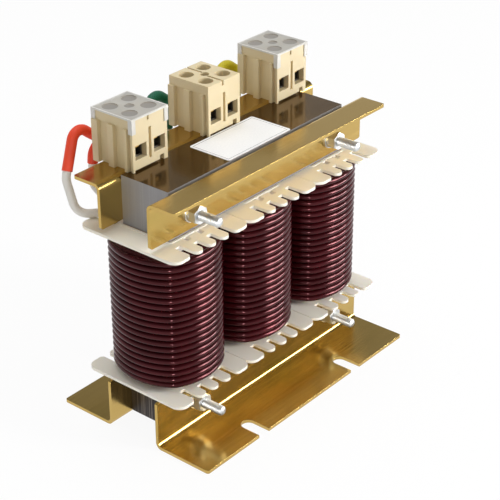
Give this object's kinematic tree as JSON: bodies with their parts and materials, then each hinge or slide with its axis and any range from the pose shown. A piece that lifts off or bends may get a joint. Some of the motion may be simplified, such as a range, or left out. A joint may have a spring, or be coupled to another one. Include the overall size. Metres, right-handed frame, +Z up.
{
  "type": "three-phase iron-core reactor",
  "caption": "Three-phase iron-core reactor: wire windings on a laminated core clamped between bent brackets, with terminal blocks on top and slotted feet.",
  "frame": {"origin": "middle of the footprint, on the plane of the foot soles", "axes": "+X along the row of windings, -Y towards the side of the rating plate, +Z up"},
  "size_m": [0.19, 0.115, 0.1905],
  "materials": {
    "lamination_steel": "varnished laminated steel",
    "spacer_board": "pressboard",
    "yellow_zinc": "yellow-passivated zinc on bent sheet",
    "white_zinc": "white zinc",
    "former_nylon": "moulded, slight sheen",
    "enamelled_wire": "glossy enamel on round copper wire",
    "terminal_nylon": "moulded, satin",
    "tin_brass": "plain",
    "clear_cover": "cloudy clear moulding",
    "white_sleeve": "woven glass sleeve",
    "red_sleeve": "satin",
    "green_sleeve": "satin",
    "yellow_sleeve": "satin",
    "plate_film": "satin film"
  },
  "bodies": {
    "root": {"core_e_stack": "lamination_steel", "core_top_yoke": "lamination_steel", "gap_spacers": "spacer_board", "front_foot_bracket": "yellow_zinc", "rear_foot_bracket": "yellow_zinc", "front_top_bracket": "yellow_zinc", "rear_top_bracket": "yellow_zinc", "clamp_studs": "white_zinc", "flat_washers": "white_zinc", "spring_washers": "white_zinc", "hex_nuts": "white_zinc", "stud_tubes": "spacer_board", "former_left": "former_nylon", "winding_left": "enamelled_wire", "terminal_left": "terminal_nylon", "former_middle": "former_nylon", "winding_middle": "enamelled_wire", "terminal_middle": "terminal_nylon", "former_right": "former_nylon", "winding_right": "enamelled_wire", "terminal_right": "terminal_nylon", "clamp_cages": "white_zinc", "current_bars": "tin_brass", "clamp_screws": "white_zinc", "fixing_screws": "white_zinc", "fixing_nuts": "white_zinc", "cover_left": "clear_cover", "cover_right": "clear_cover", "lead_left_a": "enamelled_wire", "sleeve_left_a": "white_sleeve", "marker_left_a": "red_sleeve", "lead_left_b": "enamelled_wire", "sleeve_left_b": "white_sleeve", "marker_left_b": "red_sleeve", "lead_middle_a": "enamelled_wire", "sleeve_middle_a": "white_sleeve", "marker_middle_a": "green_sleeve", "lead_middle_b": "enamelled_wire", "sleeve_middle_b": "white_sleeve", "marker_middle_b": "green_sleeve", "lead_right_a": "enamelled_wire", "sleeve_right_a": "white_sleeve", "marker_right_a": "yellow_sleeve", "lead_right_b": "enamelled_wire", "sleeve_right_b": "white_sleeve", "marker_right_b": "yellow_sleeve", "rating_plate": "plate_film"}
  },
  "joints": []
}
